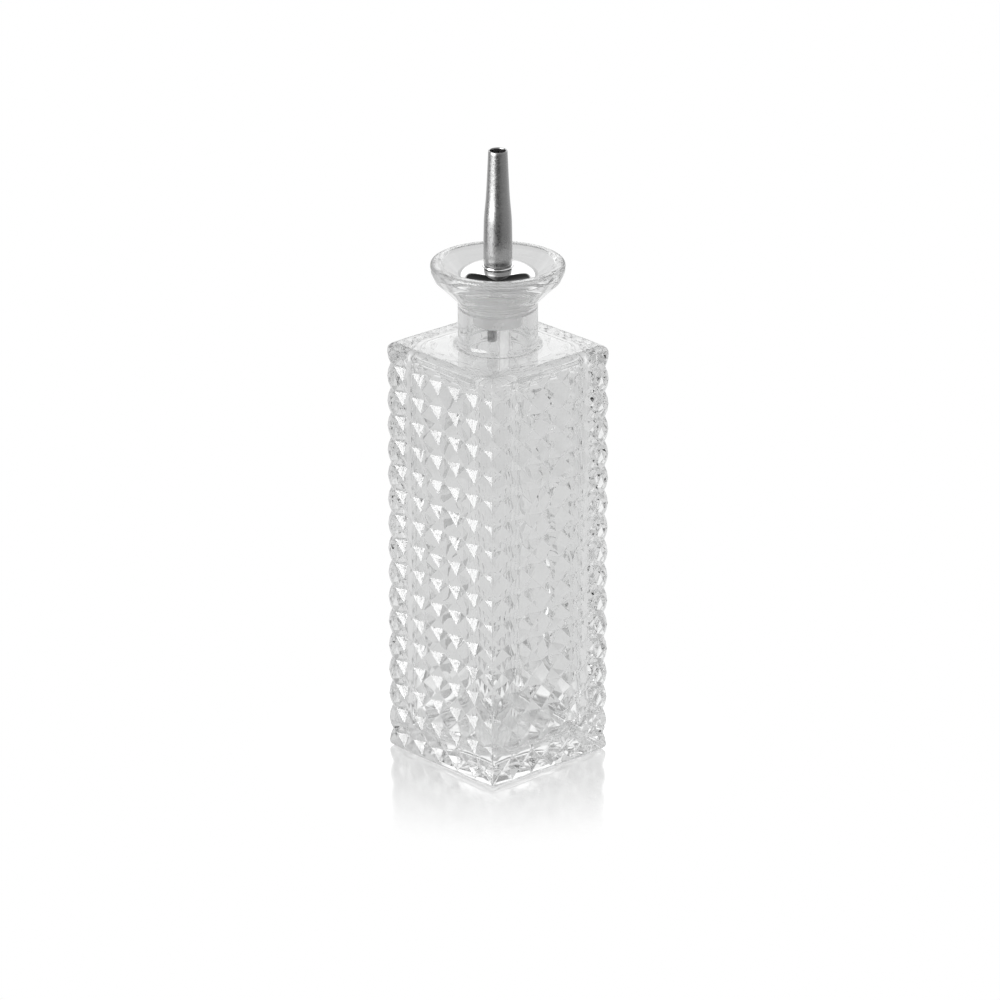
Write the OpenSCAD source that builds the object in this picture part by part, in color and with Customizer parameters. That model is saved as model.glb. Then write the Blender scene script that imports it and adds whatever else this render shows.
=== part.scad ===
// Square glass table bottle for oil, with a diamond relief, a funnel lip and a metal dash pourer.
// Millimetres. The origin is the centre of the base, and +Z points up along the bottle's axis.

/* [Glass body] */
// Width of the square body across its flats
body_w = 42; // [38:0.5:46]
// Height of the shoulder's flat above the base
body_h = 115.2; // [100:0.1:130]
// Plain band below the lowest row of pits, which the base edge's round fills
base_land = 1.3; // [1:0.1:2]
// Plain band above the highest row of pits
shoulder_land = 2.5; // [2.1:0.1:4]
// Radius of the round along the shoulder's edge
shoulder_round = 2; // [1:0.1:2]
// Glass between the cavity and the outer face
wall = 3.1; // [2.9:0.1:4.5]
// Height of the cavity's floor where it meets the walls
floor_t = 6.5; // [5:0.1:9]
// How far the cavity's floor rises to its middle
floor_rise = 1.2; // [0.5:0.1:2]
// Radius of the cavity's upright corners
cavity_corner = 8; // [6.5:0.5:10]
// Radius of the round along the edges of the cavity's floor and roof
cavity_round = 3.5; // [3:0.5:6]

/* [Relief] */
// Pits across one face, counted from corner to corner
columns = 6; // [4:1:8]
// Rows of pits
rows = 16; // [10:1:20]
// Depth of a pit at its centre
pit_depth = 1.3; // [0.6:0.1:1.6]
// How far the body's upright corners are eased back
corner_ease = 0.3; // [0.1:0.05:0.5]

/* [Base] */
// Height of the hollow under the base
punt_h = 1.6; // [0.8:0.1:2.4]
// Radius of the hollow under the base
punt_r = 15; // [10:0.5:17]

/* [Neck and lip] */
// Outside diameter of the neck
neck_d = 21.1; // [20.5:0.1:23]
// Diameter of the bore that the plug seals in
bore_d = 16; // [15:0.1:17]
// Height where the neck starts to widen into the funnel
neck_top = 127.1; // [125:0.1:129]
// Height where the bore opens into the funnel's cone
throat_z = 130.2; // [129.5:0.1:131]
// Outside diameter of the lip
lip_d = 35.6; // [34:0.1:38]
// Diameter of the funnel's mouth at the lip's crest
mouth_d = 29.5; // [28:0.1:30.5]
// Height of the lip's crest
lip_top = 137.8; // [137:0.1:139]

/* [Pour spout] */
// Height of the spout's tip
tip_z = 168.4; // [160:0.1:180]
// Outside diameter of the tip
tip_d = 5.06; // [4.6:0.02:5.6]
// Diameter of the tip's hole
tip_hole_d = 4.3; // [3.8:0.02:4.4]
// Outside diameter of the spout's straight shank
shank_d = 7.54; // [7:0.02:8]
// Wall of the tube at the shank
tube_wall = 0.4; // [0.3:0.05:0.6]
// Height where the shank starts to taper
taper_z = 144; // [142:0.1:146]
// Height of the shank's lower end, inside the plug
shank_bottom = 126.2; // [125.8:0.1:128]

/* [Dome cap] */
// Diameter of the dome's rim
dome_d = 21; // [20.4:0.1:21.4]
// Height of the dome's crown
crown_z = 136.7; // [136.4:0.1:137]
// Height of the rim's lower edge
rim_z = 133.7; // [133.5:0.1:133.9]
// Thickness of the dome's sheet
sheet = 0.6; // [0.4:0.1:0.7]
// Width of the bead round the spout
bead = 0.6; // [0.4:0.05:0.8]

/* [Plug] */
// Height of the plug's lower end
plug_bottom = 121.1; // [119:0.1:121.5]
// Height of the floor of the plug's chamber
chamber_z = 125.2; // [124.5:0.1:125.4]
// Height of the flange's top face
flange_top = 134.1; // [133.9:0.1:134.3]
// Diameter of the plug's core between the ribs
core_d = 14; // [13:0.1:14.4]
// Number of sealing ribs
ribs = 4; // [2:1:4]
// Distance from one rib to the next
rib_pitch = 1.4; // [1.2:0.05:1.45]
// Height of a rib's sealing face
rib_land = 0.8; // [0.3:0.05:0.9]
// Radial gap between a rib's edge and the bore
rib_gap = 0.05; // [0.02:0.01:0.1]

/* [Tubes under the plug] */
// Outside diameter of the long air tube
air_d = 3.4; // [3:0.1:3.6]
// Height of the air tube's lower end
air_bottom = 96; // [80:1:112]
// Outside diameter of the short inlet tube
inlet_d = 2.5; // [2:0.1:2.6]
// Height of the inlet tube's lower end
inlet_bottom = 116.2; // [112:0.1:119]
// Angle of the plane that holds both tubes, from +X
tube_angle = 48; // [0:1:90]

/* [Hidden] */
$fn = 96;

half_w = body_w / 2;
cell_w = body_w / columns / 2;
row_h = (body_h - base_land - shoulder_land) / rows;
// A pit on an upright corner is cut from both faces at once, so its centre comes in less on each
corner_depth = pit_depth / (1 + pit_depth / cell_w);
round_steps = 3;
side_steps = 2 * columns;
ring_points = 4 * side_steps;

neck_r = neck_d / 2;
bore_r = bore_d / 2;
lip_r = lip_d / 2;
mouth_r = mouth_d / 2;
foot_round = 1.7;
// The lip's rolled edge
lip_round = 1.6;
cavity_half = half_w - wall;
// The cavity's roof, which leaves the shoulder's thickness above it
cavity_top = body_h - 2.2;

running_gap = 0.05;
press_gap = 0.02;
shank_r = shank_d / 2;
air_x = 1.72;
inlet_x = -1.5;
// Below the dome the spout is a narrower stem, which leaves a shoulder at the shank's foot
stem_r = shank_r - 0.25;
stem_top = crown_z + 0.6;
fit_r = stem_r + running_gap;

// Points on an arc from angle a0 to a1 round c
function arc(c, r, a0, a1, n) = [for (i = [0:n]) c + r * [cos(a0 + (a1 - a0) * i / n), sin(a0 + (a1 - a0) * i / n)]];

// Levels of the body's skin, from the base up: height, how far the outline is drawn in, relief row or -1
base_levels = [for (i = [0:round_steps - 1])
    let (a = 90 * i / round_steps) [base_land * (1 - cos(a)), base_land * (1 - sin(a)), -1]];
relief_levels = [for (t = [0:2 * rows]) [base_land + t * row_h / 2, 0, t]];
top_levels = [for (i = [0:round_steps])
    let (a = 90 * i / round_steps)
    [body_h - shoulder_round * (1 - sin(a)), shoulder_round * (1 - cos(a)), -1]];
levels = concat(base_levels, relief_levels, top_levels);
first_relief = len(base_levels);

// One point of the skin: step c along face f at a level, turned to its face
function skin_point(f, c, level) =
    let (pit = level[2] >= 0 && level[2] % 2 == 1 && c % 2 == 0)
    let (ease = c == 0 ? (pit ? corner_depth : corner_ease) : 0)
    let (depth = c > 0 && pit ? pit_depth : 0)
    let (shrink = (half_w - level[1]) / half_w)
    let (u = (-half_w + c * cell_w + ease) * shrink)
    let (v = (-half_w + ease) * shrink + depth)
    [u * cos(90 * f) - v * sin(90 * f), u * sin(90 * f) + v * cos(90 * f), level[0]];

skin = concat(
    [for (level = levels) for (f = [0:3]) for (c = [0:side_steps - 1]) skin_point(f, c, level)],
    [[0, 0, 0], [0, 0, body_h]]);

// Each cell is split along the diagonal that keeps the pits' edges straight
function cell_faces(row, c) =
    let (a = row * ring_points + c)
    let (b = row * ring_points + (c + 1) % ring_points)
    let (d = a + ring_points)
    let (e = b + ring_points)
    (row - first_relief + c) % 2 == 0 ? [[a, e, b], [a, d, e]] : [[a, d, b], [b, d, e]];

skin_faces = [for (row = [0:len(levels) - 2]) for (c = [0:ring_points - 1]) each cell_faces(row, c)];
// The base and the shoulder are fans about their middle points
base_middle = len(levels) * ring_points;
top_ring = base_middle - ring_points;
base_faces = [for (c = [0:ring_points - 1]) [c, (c + 1) % ring_points, base_middle]];
top_faces = [for (c = [0:ring_points - 1])
    [top_ring + (c + 1) % ring_points, top_ring + c, base_middle + 1]];

module body_skin() {
    polyhedron(points = skin, faces = concat(base_faces, skin_faces, top_faces), convexity = 6);
}

// Outside of the neck, the funnel and the rolled lip, closed on the axis
module neck_outside() {
    // Radius of the outer bend under the lip
    bend = 3;
    // The foot's round ends this far below the shoulder, so that it cuts the flat cleanly
    sink = 0.12;
    rotate_extrude()
        polygon(concat(
            [[0, body_h - 1]],
            [[neck_r + foot_round, body_h - 1]],
            arc([neck_r + foot_round, body_h + foot_round - sink], foot_round, 270, 180, 8),
            arc([neck_r + 1, neck_top - 0.4], 1, 180, 135, 4),
            arc([lip_r - bend, lip_top - 2.5], bend, -45, 0, 5),
            arc([lip_r - lip_round, lip_top - lip_round], lip_round, 0, 100, 8),
            [[0, lip_top - 0.2]]));
}

// The funnel's cone and the bore, as one turned space
module mouth_space() {
    rotate_extrude()
        polygon(concat(
            [[0, cavity_top - 5], [bore_r, cavity_top - 5]],
            arc([bore_r + 1.5, throat_z - 0.6], 1.5, 180, 137, 4),
            [[mouth_r - 0.4, lip_top - 0.8]],
            arc([mouth_r + 1.5, lip_top - 1.5], 1.5, 155, 90, 5),
            [[mouth_r + 1.5, lip_top + 5], [0, lip_top + 5]]));
}

// Levels of the cavity's wall: height, and how far its outline stands out past the edge round's centre.
// The floor's and the roof's edges are rounded, and the walls between are cut into equal bands.
edge_angles = [20, 35, 50, 65, 80];
wall_bands = 8;
wall_low = floor_t + cavity_round;
wall_high = cavity_top - cavity_round;
cavity_levels = concat(
    [for (a = edge_angles) [floor_t + cavity_round * (1 - cos(a)), cavity_round * sin(a)]],
    [for (i = [0:wall_bands]) [wall_low + (wall_high - wall_low) * i / wall_bands, cavity_round]],
    [for (i = [len(edge_angles) - 1:-1:0])
        let (a = edge_angles[i]) [cavity_top - cavity_round * (1 - cos(a)), cavity_round * sin(a)]]);
corner_steps = 8;
cavity_ring = 4 * (corner_steps + 1);
cavity_reach = cavity_half - cavity_corner;

// One point of a level: step i round corner q
function cavity_point(level, q, i) =
    let (a = 90 * q + 90 * i / corner_steps)
    let (r = cavity_corner - cavity_round + level[1])
    let (x = cavity_reach * (q == 0 || q == 3 ? 1 : -1))
    let (y = cavity_reach * (q < 2 ? 1 : -1))
    [x + r * cos(a), y + r * sin(a), level[0]];

cavity_skin = concat(
    [for (level = cavity_levels) for (q = [0:3]) for (i = [0:corner_steps]) cavity_point(level, q, i)],
    [[0, 0, floor_t + floor_rise], [0, 0, cavity_top - 0.2]]);
floor_middle = len(cavity_levels) * cavity_ring;
roof_ring = floor_middle - cavity_ring;
cavity_faces = concat(
    [for (c = [0:cavity_ring - 1]) [c, (c + 1) % cavity_ring, floor_middle]],
    [for (row = [0:len(cavity_levels) - 2]) for (c = [0:cavity_ring - 1])
        let (a = row * cavity_ring + c)
        let (b = row * cavity_ring + (c + 1) % cavity_ring)
        each [[a, a + cavity_ring, b], [b, a + cavity_ring, b + cavity_ring]]],
    [for (c = [0:cavity_ring - 1])
        [roof_ring + (c + 1) % cavity_ring, roof_ring + c, floor_middle + 1]]);

module cavity() {
    polyhedron(points = cavity_skin, faces = cavity_faces, convexity = 2);
}

// The hollow under the base: a shallow dish with a small flat in its middle
module punt() {
    ball_r = (punt_r * punt_r + punt_h * punt_h) / (2 * punt_h);
    reach = punt_r + 1;
    dish_steps = 8;
    dish = [for (i = [0:dish_steps - 1]) let (x = reach * (1 - i / dish_steps))
        [x, sqrt(ball_r * ball_r - x * x) - ball_r]];
    translate([0, 0, punt_h]) rotate_extrude()
        polygon(concat([[0, -punt_h - 1], [reach, -punt_h - 1]], dish, [[0, dish[dish_steps - 1][1]]]));
}

module glass_bottle() {
    color([0.86, 0.88, 0.88, 0.45])
        difference() {
            union() {
                body_skin();
                neck_outside();
            }
            cavity();
            mouth_space();
            punt();
        }
}

// One sealing rib of the plug, as points up its outside
function rib_points(z) = [
    [core_d / 2, z - rib_land / 2 - 0.1],
    [bore_r - rib_gap, z - rib_land / 2],
    [bore_r - rib_gap, z + rib_land / 2],
    [core_d / 2, z + rib_land / 2 + 0.1]];

module stopper_plug() {
    nose_r = core_d / 2 - 0.5;
    flange_r = dome_d / 2 - sheet - 0.3;
    rib_z = throat_z - 0.9 - (ribs - 1) * rib_pitch;
    color([0.80, 0.82, 0.82, 0.7])
        difference() {
            rotate_extrude()
                polygon(concat(
                    [[0, plug_bottom], [nose_r - 0.6, plug_bottom], [nose_r, plug_bottom + 0.6]],
                    [[nose_r, rib_z - 0.9]],
                    [for (i = [0:ribs - 1]) each rib_points(rib_z + i * rib_pitch)],
                    [[core_d / 2, throat_z + 0.2], [bore_r + 0.25, throat_z + 0.6]],
                    [[flange_r, throat_z + 2.1]],
                    [[flange_r, flange_top], [0, flange_top]]));
            translate([0, 0, chamber_z]) cylinder(r = fit_r, h = flange_top - chamber_z + 1);
            rotate([0, 0, tube_angle]) {
                translate([air_x, 0, plug_bottom - 1])
                    cylinder(d = air_d + 2 * press_gap, h = chamber_z - plug_bottom + 2);
                translate([inlet_x, 0, plug_bottom - 1])
                    cylinder(d = inlet_d + 2 * press_gap, h = chamber_z - plug_bottom + 2);
            }
        }
}

// Outline of the dome: a shallow crown, a rounded knuckle and a short upright rim
function dome_outline(inset) =
    let (shoulder_r = 7.3)
    let (knuckle_z = rim_z + 1)
    let (crown_drop = 0.3)
    let (reach = dome_d / 2 - shoulder_r - inset)
    let (fall = crown_z - crown_drop - knuckle_z)
    concat(
        [for (i = [0:3]) let (x = shoulder_r * i / 3)
            [x, crown_z - inset - crown_drop * pow(x / shoulder_r, 2)]],
        [for (i = [1:8]) let (t = i / 8)
            [shoulder_r + reach * t, crown_z - crown_drop - inset - fall * (0.35 * t + 0.65 * pow(t, 2.6))]]);

module dome_cap() {
    hole_r = stem_r + press_gap;
    color([0.88, 0.88, 0.88])
        difference() {
            union() {
                difference() {
                    rotate_extrude()
                        polygon(concat(dome_outline(0), [[dome_d / 2, rim_z], [0, rim_z]]));
                    rotate_extrude()
                        polygon(concat(dome_outline(sheet), [[dome_d / 2 - sheet, rim_z - 1], [0, rim_z - 1]]));
                }
                translate([0, 0, crown_z - sheet])
                    rotate_extrude()
                        polygon(concat([[0, 0], [hole_r + bead, 0]],
                            arc([hole_r + bead - 0.2, sheet + 0.2], 0.2, 0, 90, 4), [[0, sheet + 0.4]]));
            }
            translate([0, 0, rim_z - 2]) cylinder(r = hole_r, h = 6);
        }
}

// Outside of the spout from the shank up, as [radius, height]
function spout_outside() =
    let (rise = tip_z - taper_z)
    [[shank_r, taper_z],
     [shank_r - 0.10, taper_z + 0.2 * rise],
     [shank_r - 0.62, taper_z + 0.48 * rise],
     [tip_d / 2, tip_z - 0.2]];

module pour_spout() {
    inner = [for (p = spout_outside()) [p[0] - tube_wall, p[1]]];
    color([0.62, 0.62, 0.62])
        rotate_extrude()
            polygon(concat(
                [[stem_r - tube_wall, shank_bottom], [stem_r - 0.15, shank_bottom]],
                [[stem_r, shank_bottom + 0.3], [stem_r, stem_top], [shank_r, stem_top]],
                spout_outside(),
                [[tip_d / 2 - 0.15, tip_z], [tip_hole_d / 2, tip_z]],
                [[tip_hole_d / 2, tip_z - 0.6]],
                [inner[2], inner[1], inner[0]],
                [[inner[0][0], stem_top + 0.4], [stem_r - tube_wall, stem_top - 0.2]]));
}

module tube(x, d, bore, bottom) {
    rotate([0, 0, tube_angle])
        translate([x, 0, bottom])
            difference() {
                cylinder(d = d, h = chamber_z - bottom, $fn = 48);
                translate([0, 0, -1]) cylinder(d = bore, h = chamber_z - bottom + 2, $fn = 48);
            }
}

module air_tube() {
    color([0.85, 0.87, 0.87, 0.6]) tube(air_x, air_d, air_d - 1, air_bottom);
}

module inlet_tube() {
    color([0.70, 0.70, 0.70]) tube(inlet_x, inlet_d, inlet_d - 0.6, inlet_bottom);
}

glass_bottle();
stopper_plug();
dome_cap();
pour_spout();
air_tube();
inlet_tube();
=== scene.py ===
import math

import bmesh
import bpy
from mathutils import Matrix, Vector


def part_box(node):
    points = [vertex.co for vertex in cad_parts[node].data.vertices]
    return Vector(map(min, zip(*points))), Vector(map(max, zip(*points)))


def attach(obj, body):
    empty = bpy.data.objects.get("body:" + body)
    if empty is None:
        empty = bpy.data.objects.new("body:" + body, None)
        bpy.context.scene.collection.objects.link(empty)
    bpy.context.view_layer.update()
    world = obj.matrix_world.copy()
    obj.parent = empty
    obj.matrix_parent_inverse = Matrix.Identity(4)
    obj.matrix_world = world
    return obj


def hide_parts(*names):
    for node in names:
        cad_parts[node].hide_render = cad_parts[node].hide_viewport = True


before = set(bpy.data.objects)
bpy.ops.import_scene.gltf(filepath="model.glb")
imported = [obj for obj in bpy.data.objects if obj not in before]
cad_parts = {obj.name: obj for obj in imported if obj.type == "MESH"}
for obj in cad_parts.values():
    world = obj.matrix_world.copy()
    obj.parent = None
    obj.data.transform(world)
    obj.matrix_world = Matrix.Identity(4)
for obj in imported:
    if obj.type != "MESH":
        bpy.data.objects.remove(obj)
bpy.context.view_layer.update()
MM = 0.001

# ---------------------------------------------------------------- sizes, in millimetres
glass_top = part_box("glass_bottle")[1] / MM
plug_lo, plug_hi = (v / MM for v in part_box("stopper_plug"))
dome_lo, dome_hi = (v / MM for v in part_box("dome_cap"))
spout_lo, spout_hi = (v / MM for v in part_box("pour_spout"))
air_lo, air_hi = (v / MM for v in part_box("air_tube"))
inlet_lo, inlet_hi = (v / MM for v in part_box("inlet_tube"))

HALF = glass_top.x
LIP_TOP = glass_top.z
BODY_H = 115.2          # height of the shoulder
BASE_LAND = 1.3         # plain band under the relief
SHOULDER_LAND = 2.5     # plain band over it
SHOULDER_ROUND = 2.0
COLUMNS = 6             # pitches across a face: five whole pits and one shared at each corner
ROWS = 16
PIT = 1.3               # depth of a pit
CELL = HALF / COLUMNS   # half a pitch
ROW_H = (BODY_H - BASE_LAND - SHOULDER_LAND) / ROWS
STEPS = 2 * COLUMNS     # relief steps along a face
RING = 4 * STEPS        # and round the body
CORNER_PIT = PIT / (1 + PIT / CELL)
EASE = 0.40             # most that any edge of the relief is eased
RIDGE = 0.13            # ease of a ridge
VALLEY = 0.05           # ease of a valley
CORNER_TIP = 0.3        # cut off the upright corner at a tip
WALL = 3.1
CAVITY_HALF = HALF - WALL
CAVITY_ROUND = 3.5      # edges of the cavity's floor and roof
CAVITY_CORNER = 8.0     # its upright corners
CAVITY_REACH = CAVITY_HALF - CAVITY_CORNER
CAVITY_TOP = BODY_H - 2.2
CAVITY_BANDS = 40
FLOOR = 6.5
FLOOR_RISE = 1.2
FLOOR_RINGS = 6
PUNT_R = 15.0           # hollow under the base
PUNT_H = 1.6
BORE = 8.0
TURNS = 192             # points round the glass
CROWN = 136.7           # height of the dome at the spout
SPOUT_R = 3.77
STEM_R = 3.52           # the spout inside the dome and the plug
TUBE_ANGLE = math.radians(48)
AIR_AT, AIR_R, AIR_BORE = 1.72, 1.7, 1.2
INLET_AT, INLET_R, INLET_BORE = -1.5, 1.25, 0.95


# ---------------------------------------------------------------- small builders
def arc_corners(points, step=10.0):
    """A path of (r, z, radius) corners as plain points, each corner turned on its radius."""
    out = []
    for i, (x, z, rad) in enumerate(points):
        if rad <= 0 or i in (0, len(points) - 1):
            out.append((x, z))
            continue
        p = Vector((x, z))
        a = (Vector(points[i - 1][:2]) - p)
        b = (Vector(points[i + 1][:2]) - p)
        la, lb = a.length, b.length
        a.normalize()
        b.normalize()
        half = math.acos(max(-1.0, min(1.0, a.dot(b)))) / 2
        reach = rad / math.tan(half)
        limit = 0.49 * min(la, lb)
        if reach > limit:
            reach = limit
            rad = reach * math.tan(half)
        turn = math.pi - 2 * half
        n = max(2, int(math.ceil(math.degrees(turn) / step)))
        mid = (a + b).normalized()
        c = p + mid * (rad / math.sin(half))
        start = p + a * reach - c
        end = p + b * reach - c
        sign = 1 if start.x * end.y - start.y * end.x > 0 else -1
        for k in range(n + 1):
            t = sign * turn * k / n
            out.append((c.x + start.x * math.cos(t) - start.y * math.sin(t),
                        c.y + start.x * math.sin(t) + start.y * math.cos(t)))
    return out


def ring_of(bm, r, z, n, cx=0.0, cy=0.0):
    return [bm.verts.new((cx + r * math.cos(2 * math.pi * i / n),
                          cy + r * math.sin(2 * math.pi * i / n), z)) for i in range(n)]


def join_rings(bm, a, b):
    n = len(a)
    for i in range(n):
        bm.faces.new((a[i], a[(i + 1) % n], b[(i + 1) % n], b[i]))


def fan(bm, ring, z, cx=0.0, cy=0.0):
    mid = bm.verts.new((cx, cy, z))
    n = len(ring)
    for i in range(n):
        bm.faces.new((ring[i], ring[(i + 1) % n], mid))


def to_object(bm, name, sharp=None, smooth=True):
    bmesh.ops.remove_doubles(bm, verts=bm.verts, dist=1e-5)
    bmesh.ops.recalc_face_normals(bm, faces=bm.faces)
    bmesh.ops.scale(bm, vec=(MM, MM, MM), verts=bm.verts)
    me = bpy.data.meshes.new(name)
    bm.to_mesh(me)
    bm.free()
    ob = bpy.data.objects.new(name, me)
    bpy.context.scene.collection.objects.link(ob)
    if smooth:
        me.shade_smooth()
    if sharp:
        me.set_sharp_from_angle(angle=math.radians(sharp))
    return ob


def turned(name, outline, n=TURNS, cx=0.0, cy=0.0, sharp=40):
    """A closed outline of (r, z) points turned round an upright line; points on the line close it."""
    bm = bmesh.new()
    rings = []
    for r, z in outline:
        rings.append([bm.verts.new((cx, cy, z))] if r < 1e-6 else ring_of(bm, r, z, n, cx, cy))
    count = len(rings)
    for k in range(count):
        a, b = rings[k], rings[(k + 1) % count]
        if len(a) == 1 and len(b) == 1:
            continue
        if len(a) == 1 or len(b) == 1:
            ring, tip = (b, a[0]) if len(a) == 1 else (a, b[0])
            for i in range(n):
                bm.faces.new((ring[i], ring[(i + 1) % n], tip))
        else:
            join_rings(bm, a, b)
    return to_object(bm, name, sharp)


def curve_points(knots, count):
    """A smooth line through (z, r) knots, as count + 1 (r, z) points from the first to the last."""
    n = len(knots)
    d = [(knots[i + 1][1] - knots[i][1]) / (knots[i + 1][0] - knots[i][0]) for i in range(n - 1)]
    m = [d[0]] + [0.0 if d[i - 1] * d[i] <= 0 else 2 * d[i - 1] * d[i] / (d[i - 1] + d[i])
                  for i in range(1, n - 1)] + [d[-1]]
    out = []
    z0, z1 = knots[0][0], knots[-1][0]
    for k in range(count + 1):
        z = z0 + (z1 - z0) * k / count
        i = max(j for j in range(n - 1) if z >= knots[j][0] - 1e-9)
        h = knots[i + 1][0] - knots[i][0]
        t = (z - knots[i][0]) / h
        r = ((1 + 2 * t) * (1 - t) ** 2 * knots[i][1] + t * (1 - t) ** 2 * h * m[i]
             + t * t * (3 - 2 * t) * knots[i + 1][1] + t * t * (t - 1) * h * m[i + 1])
        out.append((r, z))
    return out


# ---------------------------------------------------------------- the glass
def relief_point(c, t, z, inset):
    """A point of the body's skin: step c round the body, relief row t or None on a plain band."""
    f, k = divmod(c, STEPS)
    pit = t is not None and t % 2 == 1 and k % 2 == 0
    ease = (CORNER_PIT if pit else CORNER_TIP) if k == 0 else 0.0
    depth = PIT if (k > 0 and pit) else 0.0
    shrink = (HALF - inset) / HALF
    u = (-HALF + k * CELL + ease) * shrink
    v = (-HALF + ease) * shrink + depth
    a = math.radians(90 * f)
    return (u * math.cos(a) - v * math.sin(a), u * math.sin(a) + v * math.cos(a), z)


def relief_skin():
    """The pressed faces: pits of four facets between flat diamonds, with every edge eased."""
    bm = bmesh.new()
    weight = bm.edges.layers.float.new("bevel_weight_edge")
    verts = {}

    def at(c, t):
        c %= RING
        if (c, t) not in verts:
            verts[c, t] = bm.verts.new(relief_point(c, t, BASE_LAND + t * ROW_H / 2, 0))
        return verts[c, t]

    def between(c, t, s):
        """The upright corner half way from a corner pit to its tip, before it is eased."""
        if (c, t, s) not in verts:
            f = c // STEPS
            e = -HALF + CORNER_PIT / 2
            a = math.radians(90 * f)
            x, y = e * math.cos(a) - e * math.sin(a), e * math.sin(a) + e * math.cos(a)
            verts[c, t, s] = bm.verts.new((x, y, BASE_LAND + (t + s) * ROW_H / 4))
        return verts[c, t, s]

    top = 2 * ROWS
    for t in range(1, top, 2):
        for c in range(0, RING, 2):
            p = at(c, t)
            for q, r in (((c + 1, t), (c, t + 1)), ((c, t + 1), (c - 1, t)),
                         ((c - 1, t), (c, t - 1)), ((c, t - 1), (c + 1, t))):
                if c % STEPS:
                    bm.faces.new((p, at(*q), at(*r)))
                    continue
                tip = q if q[0] == c else r
                half_way = between(c, t, tip[1])
                if tip == r:
                    bm.faces.new((p, at(*q), half_way))
                    bm.faces.new((half_way, at(*q), at(*r)))
                else:
                    bm.faces.new((p, half_way, at(*r)))
                    bm.faces.new((half_way, at(*q), at(*r)))
    for t in range(0, top + 1, 2):
        for c in range(1, RING, 2):
            if t == 0:
                bm.faces.new((at(c - 1, 0), at(c + 1, 0), at(c, 1)))
            elif t == top:
                bm.faces.new((at(c - 1, top), at(c, top - 1), at(c + 1, top)))
            else:
                bm.faces.new((at(c - 1, t), at(c, t - 1), at(c + 1, t), at(c, t + 1)))

    def band(z, inset):
        return [bm.verts.new(relief_point(c, None, z, inset)) for c in range(0, RING, 2)]

    steps = 9
    row = [at(c, 0) for c in range(0, RING, 2)]
    for i in range(1, steps + 1):
        a = math.radians(90 * i / steps)
        nxt = band(BASE_LAND * (1 - math.sin(a)), BASE_LAND * (1 - math.cos(a)))
        join_rings(bm, nxt, row)
        row = nxt
    row = [at(c, top) for c in range(0, RING, 2)]
    for i in range(0, steps + 1):
        a = math.radians(90 * i / steps)
        nxt = band(BODY_H - SHOULDER_ROUND * (1 - math.sin(a)),
                   SHOULDER_ROUND * (1 - math.cos(a)))
        join_rings(bm, row, nxt)
        row = nxt
    bmesh.ops.recalc_face_normals(bm, faces=bm.faces)
    bm.verts.ensure_lookup_table()
    eps = 1e-4
    relief_low, relief_high = BASE_LAND - eps, BASE_LAND + ROWS * ROW_H + eps
    for e in bm.edges:
        a, b = e.verts
        if len(e.link_faces) < 2 or e.calc_face_angle(0.0) < math.radians(4):
            continue
        upright = all(abs(abs(v.co.x) - abs(v.co.y)) < 1e-3 and abs(v.co.x) > HALF - CELL
                      for v in (a, b))
        inside = all(relief_low < v.co.z < relief_high for v in (a, b))
        if upright and abs(a.co.z - b.co.z) > eps:
            e[weight] = 1.0
        elif inside:
            e[weight] = (RIDGE if e.is_convex else VALLEY) / EASE
    me = bpy.data.meshes.new("skin")
    bm.to_mesh(me)
    bm.free()
    ob = bpy.data.objects.new("skin", me)
    bpy.context.scene.collection.objects.link(ob)
    mod = ob.modifiers.new("ease", "BEVEL")
    mod.limit_method = "WEIGHT"
    mod.width = EASE
    mod.segments = 2
    mod.use_clamp_overlap = True
    mod.loop_slide = True
    dg = bpy.context.evaluated_depsgraph_get()
    out = bmesh.new()
    out.from_mesh(bpy.data.meshes.new_from_object(ob.evaluated_get(dg)))
    bpy.data.objects.remove(ob)
    bpy.data.meshes.remove(me)
    return out


def square_point(i, core, rad):
    """Point i of TURNS round a square with rounded corners, with half the points on the corners."""
    side, k = divmod(i, TURNS // 4)
    flat = TURNS // 16
    if k < flat:
        x, y = core + rad, core * k / flat
    elif k <= 3 * flat:
        a = math.pi / 2 * (k - flat) / (2 * flat)
        x, y = core + rad * math.cos(a), core + rad * math.sin(a)
    else:
        x, y = core * (4 * flat - k) / flat, core + rad
    a = math.pi / 2 * side
    x, y = x * math.cos(a) - y * math.sin(a), x * math.sin(a) + y * math.cos(a)
    return x, y, math.atan2(y, x)


def wave(phi, z):
    """The cavity's wall isn't quite even: it runs in and out by up to a quarter of a millimetre."""
    return (0.10 * math.sin(3 * phi + 0.09 * z + 0.4) + 0.07 * math.sin(7 * phi - 0.16 * z + 1.9)
            + 0.05 * math.sin(2 * phi + 0.31 * z) + 0.03 * math.sin(13 * phi + 0.23 * z + 0.8))


def cavity_ring(bm, z, rad):
    out = []
    for i in range(TURNS):
        x, y, phi = square_point(i, CAVITY_REACH, CAVITY_CORNER - CAVITY_ROUND + rad)
        grow = wave(phi, z) / math.hypot(x, y)
        out.append(bm.verts.new((x * (1 + grow), y * (1 + grow), z)))
    return out


def open_loop(bm, z):
    """The boundary edges of the skin at a height."""
    return [e for e in bm.edges
            if len(e.link_faces) == 1 and all(abs(v.co.z - z) < 1e-3 for v in e.verts)]


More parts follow.
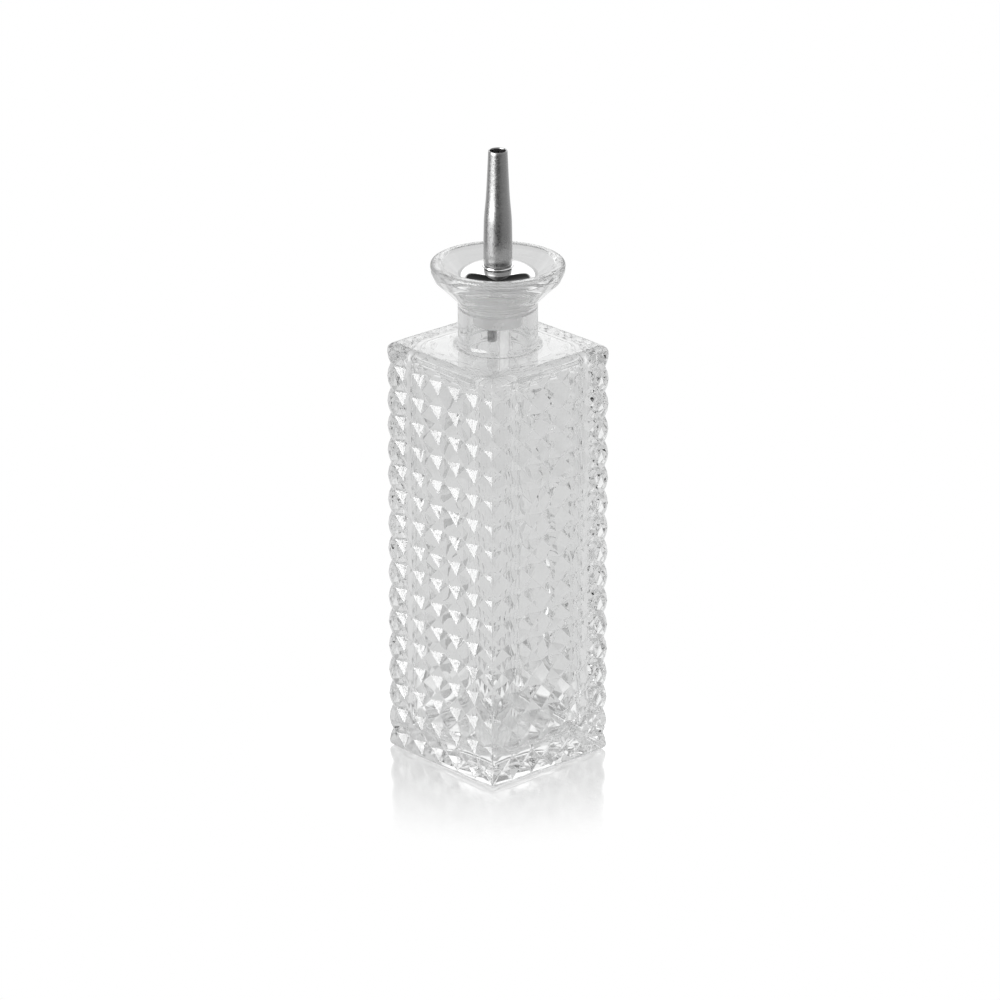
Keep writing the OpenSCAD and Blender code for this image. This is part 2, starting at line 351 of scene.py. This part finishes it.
def glass():
    bm = relief_skin()
    outer_top = open_loop(bm, BODY_H)
    outer_base = open_loop(bm, 0.0)

    path = arc_corners([
        (14.0, BODY_H, 0), (10.55, BODY_H, 1.75), (10.52, 127.15, 1.0), (13.9, 130.65, 4.0),
        (16.6, 133.2, 1.4), (17.55, 135.3, 1.6), (17.8, 137.8, 1.15), (15.9, LIP_TOP, 1.2),
        (14.75, 137.5, 0.6), (BORE, 130.15, 1.2), (BORE, 113.0, 1.5), (10.4, CAVITY_TOP, 0)], 9)
    first = prev = None
    for r, z in path:
        ring = ring_of(bm, r, z, TURNS)
        if prev:
            join_rings(bm, prev, ring)
        first = first or ring
        prev = ring
    edge_steps = 14
    for i in range(1, edge_steps + 1):
        a = math.radians(90 * i / edge_steps)
        ring = cavity_ring(bm, CAVITY_TOP - CAVITY_ROUND * (1 - math.cos(a)),
                           CAVITY_ROUND * math.sin(a))
        join_rings(bm, prev, ring)
        prev = ring
    low, high = FLOOR + CAVITY_ROUND, CAVITY_TOP - CAVITY_ROUND
    for i in range(CAVITY_BANDS - 1, -1, -1):
        ring = cavity_ring(bm, low + (high - low) * i / CAVITY_BANDS, CAVITY_ROUND)
        join_rings(bm, prev, ring)
        prev = ring
    for i in range(edge_steps - 1, 0, -1):
        a = math.radians(90 * i / edge_steps)
        ring = cavity_ring(bm, FLOOR + CAVITY_ROUND * (1 - math.cos(a)), CAVITY_ROUND * math.sin(a))
        join_rings(bm, prev, ring)
        prev = ring
    edge = [square_point(i, CAVITY_REACH, CAVITY_CORNER - CAVITY_ROUND) for i in range(TURNS)]
    for k in range(1, FLOOR_RINGS):
        out = 1 - k / FLOOR_RINGS
        ring = [bm.verts.new((x * out, y * out, FLOOR + FLOOR_RISE * (1 - out ** 2)))
                for x, y, _ in edge]
        join_rings(bm, prev, ring)
        prev = ring
    fan(bm, prev, FLOOR + FLOOR_RISE)

    ball = (PUNT_R ** 2 + PUNT_H ** 2) / (2 * PUNT_H)
    dish = [(x, PUNT_H - ball + math.sqrt(ball * ball - x * x), 0)
            for x in (13.5, 12, 10, 8, 6, 4, 2, 0.8)]
    path = arc_corners([(PUNT_R + 1.6, 0.0, 0), (PUNT_R, 0.0, 1.2)] + dish, 4)
    base_first = prev = None
    for r, z in path:
        ring = ring_of(bm, r, z, TURNS)
        if prev:
            join_rings(bm, prev, ring)
        base_first = base_first or ring
        prev = ring
    fan(bm, prev, PUNT_H)

    for loop, ring, up in ((outer_top, first, 1), (outer_base, base_first, -1)):
        n = len(ring)
        edges = loop + [bm.edges.get((ring[i], ring[(i + 1) % n])) for i in range(n)]
        bmesh.ops.triangle_fill(bm, use_beauty=True, use_dissolve=False, edges=edges,
                                normal=(0, 0, up))
    ob = to_object(bm, "glass_body")
    mod = ob.modifiers.new("even", "WEIGHTED_NORMAL")
    mod.mode = "FACE_AREA"
    mod.weight = 100
    mod.thresh = 0.01
    return ob


# ---------------------------------------------------------------- the other pieces
def plug():
    core, nose = 7.0, 6.5
    ribs, pitch = 4, 1.4
    first = 129.3 - (ribs - 1) * pitch
    flange = (dome_hi.x - dome_lo.x) / 2 - 0.9
    z0, z1 = plug_lo.z, plug_hi.z
    seal = BORE + 0.02      # the ribs touch the glass, so that they show through it
    path = [(0, z0, 0), (nose, z0, 0.6), (nose, first - 0.9, 0.15), (core, first - 0.65, 0.1)]
    for i in range(ribs):
        z = first + i * pitch
        path += [(core, z - 0.52, 0.1), (seal, z - 0.42, 0.1),
                 (seal, z + 0.40, 0.1), (core, z + 0.52, 0.1)]
    path += [(core, 130.4, 0.1), (BORE + 0.25, 130.8, 0.2), (flange, 132.3, 0.25), (flange, z1, 0.2),
             (STEM_R + 0.05, z1, 0.1), (STEM_R + 0.05, air_hi.z, 0), (0, air_hi.z, 0)]
    ob = turned("plug", arc_corners(path, 22), 96)
    for at, tube_r in ((AIR_AT, AIR_R), (INLET_AT, INLET_R)):
        r = tube_r + 0.02
        cx, cy = at * math.cos(TUBE_ANGLE), at * math.sin(TUBE_ANGLE)
        bm = bmesh.new()
        a = ring_of(bm, r, z0 - 1, 48, cx, cy)
        b = ring_of(bm, r, 126.0, 48, cx, cy)
        join_rings(bm, a, b)
        bm.faces.new(a)
        bm.faces.new(b)
        cutter = to_object(bm, "cutter", smooth=False)
        mod = ob.modifiers.new("hole", "BOOLEAN")
        mod.object = cutter
        mod.solver = "EXACT"
        dg = bpy.context.evaluated_depsgraph_get()
        me = bpy.data.meshes.new_from_object(ob.evaluated_get(dg))
        ob.modifiers.clear()
        ob.data = me
        bpy.data.objects.remove(cutter)
    ob.data.shade_smooth()
    ob.data.set_sharp_from_angle(angle=math.radians(40))
    return ob


def pipe(name, lo, hi, r, bore, at):
    path = arc_corners([(bore, lo.z + 1, 0), (bore, lo.z, 0.08), (r, lo.z, 0.12), (r, hi.z, 0.1),
                        (bore, hi.z, 0.08), (bore, hi.z - 1, 0)], 22)
    return turned(name, path, 64, at * math.cos(TUBE_ANGLE), at * math.sin(TUBE_ANGLE))


def dome():
    rim = (dome_hi.x - dome_lo.x) / 2
    top, low = dome_hi.z, dome_lo.z
    knuckle = low + 1.0
    sheet = 0.6
    hole = STEM_R + 0.02
    crown_r, drop = 7.3, 0.3

    def outline(inset):
        pts = [(crown_r * x, CROWN - inset - drop * x * x) for x in (0.62, 0.7, 0.8, 0.9, 1.0)]
        fall = CROWN - drop - knuckle
        for i in range(1, 17):
            t = i / 16
            pts.append((crown_r + (rim - crown_r - inset) * t,
                        CROWN - drop - inset - fall * (0.35 * t + 0.65 * t ** 2.6)))
        return pts

    crown_at = CROWN - drop * 0.34
    path = ([(hole, top - 0.12), (hole + 0.08, top - 0.03), (hole + 0.2, top), (hole + 0.42, top - 0.03),
             (hole + 0.54, top - 0.13), (hole + 0.58, crown_at + 0.10), (hole + 0.64, crown_at + 0.03),
             (hole + 0.76, crown_at - 0.005)]
            + outline(0)
            + arc_corners([(rim, knuckle - 0.1, 0), (rim, low, 0.22), (rim - sheet, low, 0.22),
                           (rim - sheet, knuckle - sheet - 0.05, 0)], 15)
            + outline(sheet)[::-1] + [(hole, CROWN - sheet - 0.05)])
    return turned("dome", path, TURNS, sharp=50)


def spout():
    tip = spout_hi.z
    wall = 0.4
    knots = [(144.0, SPOUT_R), (149.0, 3.66), (155.9, 3.115), (162.0, 2.80), (tip - 0.25, 2.53)]
    outer = curve_points(knots, 40)
    inner = [(r - wall, z) for r, z in outer]
    foot = CROWN + 0.6
    path = ([(STEM_R - wall, spout_lo.z), (STEM_R - 0.15, spout_lo.z), (STEM_R, spout_lo.z + 0.3),
             (STEM_R, foot), (SPOUT_R - 0.08, foot), (SPOUT_R, foot + 0.08), (SPOUT_R, 140.5)]
            + outer + [(2.50, tip - 0.10), (2.42, tip - 0.02), (2.32, tip), (2.22, tip - 0.03),
                       (2.16, tip - 0.12), (2.14, tip - 0.3)]
            + inner[::-1] + [(SPOUT_R - wall, foot + 0.4), (STEM_R - wall, foot - 0.2)])
    return turned("spout", path, 160, sharp=50)


# ---------------------------------------------------------------- materials
def material(name):
    m = bpy.data.materials.new(name)
    m.use_nodes = True
    nt = m.node_tree
    return m, nt, nt.nodes["Principled BSDF"], nt.nodes.new("ShaderNodeTexCoord")


def noise(nt, coord, scale, detail, stretch=None):
    source = coord.outputs["Object"]
    if stretch:
        mp = nt.nodes.new("ShaderNodeMapping")
        mp.inputs["Scale"].default_value = stretch
        nt.links.new(source, mp.inputs["Vector"])
        source = mp.outputs["Vector"]
    n = nt.nodes.new("ShaderNodeTexNoise")
    n.inputs["Scale"].default_value = scale
    n.inputs["Detail"].default_value = detail
    nt.links.new(source, n.inputs["Vector"])
    return n.outputs["Fac"]


def spread(nt, value, low, high, from_low=0.3, from_high=0.7):
    r = nt.nodes.new("ShaderNodeMapRange")
    r.inputs["From Min"].default_value = from_low
    r.inputs["From Max"].default_value = from_high
    r.inputs["To Min"].default_value = low
    r.inputs["To Max"].default_value = high
    nt.links.new(value, r.inputs["Value"])
    return r.outputs["Result"]


def bump(nt, value, strength, distance, onto=None):
    b = nt.nodes.new("ShaderNodeBump")
    b.inputs["Strength"].default_value = strength
    b.inputs["Distance"].default_value = distance
    nt.links.new(value, b.inputs["Height"])
    if onto:
        nt.links.new(onto, b.inputs["Normal"])
    return b.outputs["Normal"]


def glass_material():
    m, nt, p, co = material("pressed_glass")
    p.inputs["Base Color"].default_value = (0.928, 0.931, 0.930, 1)
    p.inputs["Transmission Weight"].default_value = 1.0
    p.inputs["IOR"].default_value = 1.5
    nt.links.new(spread(nt, noise(nt, co, 60, 2), 0.0, 0.006), p.inputs["Roughness"])
    ripple = bump(nt, noise(nt, co, 130, 2), 0.09, 0.0004)
    nt.links.new(bump(nt, noise(nt, co, 900, 2), 0.03, 0.00004, ripple), p.inputs["Normal"])
    return m


def plug_material():
    m, nt, p, co = material("plug_plastic")
    p.inputs["Base Color"].default_value = (1, 1, 1, 1)
    p.inputs["Transmission Weight"].default_value = 0.40
    p.inputs["IOR"].default_value = 1.44
    nt.links.new(spread(nt, noise(nt, co, 500, 3), 0.16, 0.30), p.inputs["Roughness"])
    skin = bump(nt, noise(nt, co, 1500, 3), 0.25, 0.00006)
    nt.links.new(skin, p.inputs["Normal"])
    # Painted light: the plug glows faintly white (emission 0.165) to keep it bright, though it is no lamp
    p.inputs["Emission Color"].default_value = (1, 1, 1, 1)
    p.inputs["Emission Strength"].default_value = 0.165
    through = nt.nodes.new("ShaderNodeBsdfTranslucent")
    through.inputs["Color"].default_value = (1, 1, 1, 1)
    nt.links.new(skin, through.inputs["Normal"])
    both = nt.nodes.new("ShaderNodeMixShader")
    both.inputs["Fac"].default_value = 0.5
    nt.links.new(p.outputs["BSDF"], both.inputs[1])
    nt.links.new(through.outputs["BSDF"], both.inputs[2])
    nt.links.new(both.outputs["Shader"], nt.nodes["Material Output"].inputs["Surface"])
    return m


def air_tube_material():
    m, nt, p, co = material("air_tube_plastic")
    p.inputs["Base Color"].default_value = (1, 1, 1, 1)
    p.inputs["Transmission Weight"].default_value = 0.7
    p.inputs["IOR"].default_value = 1.25
    # Painted light: the air tube glows faintly white (emission 0.10), though it is no lamp
    p.inputs["Emission Color"].default_value = (1, 1, 1, 1)
    p.inputs["Emission Strength"].default_value = 0.10
    nt.links.new(spread(nt, noise(nt, co, 700, 3), 0.10, 0.22), p.inputs["Roughness"])
    nt.links.new(bump(nt, noise(nt, co, 900, 2, (1, 1, 0.15)), 0.2, 0.00005), p.inputs["Normal"])
    return m


def inlet_tube_material():
    m, nt, p, co = material("inlet_tube_steel")
    p.inputs["Base Color"].default_value = (0.45, 0.45, 0.45, 1)
    p.inputs["Metallic"].default_value = 1.0
    nt.links.new(spread(nt, noise(nt, co, 1600, 4), 0.08, 0.16), p.inputs["Roughness"])
    nt.links.new(bump(nt, noise(nt, co, 1800, 3, (1, 1, 0.05)), 0.2, 0.00002), p.inputs["Normal"])
    return m


def polished_material():
    m, nt, p, co = material("polished_steel")
    p.inputs["Base Color"].default_value = (0.92, 0.92, 0.92, 1)
    p.inputs["Metallic"].default_value = 1.0
    nt.links.new(spread(nt, noise(nt, co, 800, 4), 0.03, 0.09), p.inputs["Roughness"])
    nt.links.new(bump(nt, noise(nt, co, 4000, 3, (1, 0.06, 1)), 0.10, 0.000012), p.inputs["Normal"])
    return m


def satin_material():
    m, nt, p, co = material("satin_steel")
    p.inputs["Base Color"].default_value = (0.50, 0.50, 0.50, 1)
    p.inputs["Metallic"].default_value = 1.0
    nt.links.new(spread(nt, noise(nt, co, 1600, 5), 0.24, 0.36), p.inputs["Roughness"])
    grain = bump(nt, noise(nt, co, 5200, 4), 0.45, 0.000018)
    nt.links.new(bump(nt, noise(nt, co, 900, 3, (1, 1, 0.05)), 0.25, 0.00002, grain), p.inputs["Normal"])
    return m


# ---------------------------------------------------------------- the object
body = glass()
body.data.materials.append(glass_material())
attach(body, "bottle")
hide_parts("glass_bottle")

plug_piece = plug()
plug_piece.data.materials.append(plug_material())
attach(plug_piece, "stopper")
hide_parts("stopper_plug")

air = pipe("air_pipe", air_lo, air_hi, AIR_R, AIR_BORE, AIR_AT)
air.data.materials.append(air_tube_material())
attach(air, "stopper")
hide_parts("air_tube")

inlet = pipe("inlet_pipe", inlet_lo, inlet_hi, INLET_R, INLET_BORE, INLET_AT)
inlet.data.materials.append(inlet_tube_material())
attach(inlet, "stopper")
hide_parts("inlet_tube")

dome_piece = dome()
dome_piece.data.materials.append(polished_material())
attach(dome_piece, "pourer")
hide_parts("dome_cap")

spout_piece = spout()
spout_piece.data.materials.append(satin_material())
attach(spout_piece, "pourer")
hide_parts("pour_spout")

# ---------------------------------------------------------------- camera
AZIMUTH, ELEVATION = math.radians(47.765), math.radians(21.14)
DISTANCE = 1711.4
AIM_Z = 71.06
back = Vector((math.sin(AZIMUTH) * math.cos(ELEVATION), -math.cos(AZIMUTH) * math.cos(ELEVATION),
               math.sin(ELEVATION)))
cam_data = bpy.data.cameras.new("camera")
cam_data.sensor_width = 36
cam_data.lens = 232.5
cam_data.shift_x = 0.00213
camera = bpy.data.objects.new("camera", cam_data)
bpy.context.scene.collection.objects.link(camera)
camera.rotation_mode = "QUATERNION"
camera.location = (Vector((0, 0, AIM_Z)) + back * DISTANCE) * MM
camera.rotation_quaternion = (-back).to_track_quat("-Z", "Y")
cam_data.clip_start, cam_data.clip_end = 0.05, 20
bpy.context.scene.camera = camera

# ---------------------------------------------------------------- floor: pale, with a faint sheen by the base
bm = bmesh.new()
disc = ring_of(bm, 230.0, 0.0, 96)
fan(bm, disc, 0.0)
floor = to_object(bm, "floor", smooth=False)
floor.location.z = -0.00003
fm = bpy.data.materials.new("pale_floor")
fm.use_nodes = True
nt = fm.node_tree
nt.nodes.clear()
out = nt.nodes.new("ShaderNodeOutputMaterial")
pale = nt.nodes.new("ShaderNodeEmission")
pale.inputs["Color"].default_value = (1, 1, 1, 1)
# Painted shade: the floor glows at 0.745 instead of 1.0 on rays that have come through the glass, so it shows
# darker through the bottle
seen = nt.nodes.new("ShaderNodeLightPath")
level = nt.nodes.new("ShaderNodeMapRange")
level.inputs["To Min"].default_value = 1.0
level.inputs["To Max"].default_value = 0.745
nt.links.new(seen.outputs["Is Transmission Ray"], level.inputs["Value"])
nt.links.new(level.outputs["Result"], pale.inputs["Strength"])
sheen = nt.nodes.new("ShaderNodeBsdfGlossy")
sheen.inputs["Color"].default_value = (1, 1, 1, 1)
sheen.inputs["Roughness"].default_value = 0.16
mix = nt.nodes.new("ShaderNodeMixShader")
co = nt.nodes.new("ShaderNodeTexCoord")
length = nt.nodes.new("ShaderNodeVectorMath")
length.operation = "LENGTH"
nt.links.new(co.outputs["Object"], length.inputs[0])
fade = nt.nodes.new("ShaderNodeMapRange")
fade.interpolation_type = "SMOOTHSTEP"
fade.inputs["From Min"].default_value = 0.024
fade.inputs["From Max"].default_value = 0.066
fade.inputs["To Min"].default_value = 0.58
fade.inputs["To Max"].default_value = 0.0
nt.links.new(length.outputs["Value"], fade.inputs["Value"])
nt.links.new(fade.outputs["Result"], mix.inputs["Fac"])
nt.links.new(pale.outputs["Emission"], mix.inputs[1])
nt.links.new(sheen.outputs["BSDF"], mix.inputs[2])
nt.links.new(mix.outputs["Shader"], out.inputs["Surface"])
floor.data.materials.append(fm)

# ---------------------------------------------------------------- studio
# White behind, a softbox on the left, dark low in front of the object and overhead
world = bpy.data.worlds.new("studio")
bpy.context.scene.world = world
world.use_nodes = True
nt = world.node_tree
nt.nodes.clear()
co = nt.nodes.new("ShaderNodeTexCoord")
forward = Vector((math.sin(AZIMUTH), -math.cos(AZIMUTH), 0))
right = Vector((math.cos(AZIMUTH), math.sin(AZIMUTH), 0))


def along(direction):
    n = nt.nodes.new("ShaderNodeVectorMath")
    n.operation = "DOT_PRODUCT"
    n.inputs[1].default_value = direction
    nt.links.new(co.outputs["Generated"], n.inputs[0])
    return n.outputs["Value"]


turn = nt.nodes.new("ShaderNodeMath")
turn.operation = "ARCTAN2"
nt.links.new(along(right), turn.inputs[0])
nt.links.new(along(forward), turn.inputs[1])
share = nt.nodes.new("ShaderNodeMapRange")
share.inputs["From Min"].default_value = -math.pi
share.inputs["From Max"].default_value = math.pi
nt.links.new(turn.outputs["Value"], share.inputs["Value"])
TOP = 9.0       # brightness that a ramp's white stands for
SOFT = 0.735    # brightness that the diffusers even the room out to


def round_the_room(stops):
    """Brightness by direction: degrees from the camera's side, positive to its right."""
    ramp = nt.nodes.new("ShaderNodeValToRGB")
    els = ramp.color_ramp.elements
    while len(els) > 1:
        els.remove(els[-1])
    for k, (deg, level) in enumerate(stops):
        e = els[0] if k == 0 else els.new((deg + 180) / 360)
        e.position = (deg + 180) / 360
        v = level / TOP
        e.color = (v, v, v, 1)
    nt.links.new(share.outputs["Result"], ramp.inputs["Fac"])
    return ramp.outputs["Color"]


def over(lower, upper, start, end):
    """The lower part of the room changes to the upper part between two heights of view."""
    rise = nt.nodes.new("ShaderNodeMapRange")
    rise.interpolation_type = "SMOOTHSTEP"
    rise.inputs["From Min"].default_value = math.sin(math.radians(start))
    rise.inputs["From Max"].default_value = math.sin(math.radians(end))
    nt.links.new(along(Vector((0, 0, 1))), rise.inputs["Value"])
    mixed = nt.nodes.new("ShaderNodeMixRGB")
    nt.links.new(rise.outputs["Result"], mixed.inputs["Fac"])
    nt.links.new(lower, mixed.inputs["Color1"])
    nt.links.new(upper, mixed.inputs["Color2"])
    return mixed.outputs["Color"]


below = round_the_room([
    (-180, 0.85), (-125, 0.6), (-112, 0.22), (-95, 0.35), (-80, 0.65), (-54, 0.70), (-36, 0.16),
    (-20, 0.045), (14, 0.045), (32, 0.22), (95, 0.38), (130, 0.6), (180, 0.85)])
middle = round_the_room([
    (-180, 0.9), (-130, 0.8), (-112, 0.4), (-84, 0.7), (-77, 8.0), (-35, 8.0), (-28, 0.25),
    (-18, 0.2), (20, 0.2), (40, 0.3), (95, 0.5), (130, 0.8), (180, 0.9)])
higher = round_the_room([
    (-180, 1.8), (-150, 1.6), (-128, 0.7), (-84, 0.6), (-77, 7.5), (-35, 7.5), (-28, 0.9),
    (-18, 1.0), (25, 1.0), (50, 0.7), (100, 0.6), (130, 0.8), (152, 1.6), (180, 1.8)])
above = round_the_room([
    (-180, 0.012), (-130, 0.04), (-95, 0.25), (-60, 0.06), (-40, 0.01), (45, 0.01), (75, 0.06),
    (105, 0.18), (140, 0.04), (180, 0.012)])
lit = over(over(over(below, middle, -9, -3), higher, 12, 18), above, 30, 37)
room = nt.nodes.new("ShaderNodeBackground")
room.inputs["Strength"].default_value = TOP
nt.links.new(lit, room.inputs["Color"])
plain = nt.nodes.new("ShaderNodeBackground")
plain.inputs["Color"].default_value = (1, 1, 1, 1)
plain.inputs["Strength"].default_value = 1.0
seen = nt.nodes.new("ShaderNodeLightPath")
# Light that has come through the glass is softened, as the large diffusers round a real set do
soften = nt.nodes.new("ShaderNodeMixRGB")
soften.inputs["Fac"].default_value = 0.68
soften.inputs["Color2"].default_value = (SOFT / TOP, SOFT / TOP, SOFT / TOP, 1)
nt.links.new(lit, soften.inputs["Color1"])
diffused = nt.nodes.new("ShaderNodeBackground")
diffused.inputs["Strength"].default_value = TOP
nt.links.new(soften.outputs["Color"], diffused.inputs["Color"])
past_glass = nt.nodes.new("ShaderNodeMixShader")
nt.links.new(seen.outputs["Is Transmission Ray"], past_glass.inputs["Fac"])
nt.links.new(room.outputs["Background"], past_glass.inputs[1])
nt.links.new(diffused.outputs["Background"], past_glass.inputs[2])
either = nt.nodes.new("ShaderNodeMixShader")
nt.links.new(seen.outputs["Is Camera Ray"], either.inputs["Fac"])
nt.links.new(past_glass.outputs["Shader"], either.inputs[1])
nt.links.new(plain.outputs["Background"], either.inputs[2])
world_out = nt.nodes.new("ShaderNodeOutputWorld")
nt.links.new(either.outputs["Shader"], world_out.inputs["Surface"])

# ---------------------------------------------------------------- picture
scene = bpy.context.scene
scene.view_settings.view_transform = "Standard"
scene.view_settings.look = "None"
scene.cycles.max_bounces = 32
scene.cycles.transmission_bounces = 32
scene.cycles.glossy_bounces = 12
scene.cycles.diffuse_bounces = 6
scene.cycles.caustics_refractive = True
scene.cycles.caustics_reflective = True
scene.cycles.use_denoising = True
scene.cycles.sample_clamp_indirect = 1.0
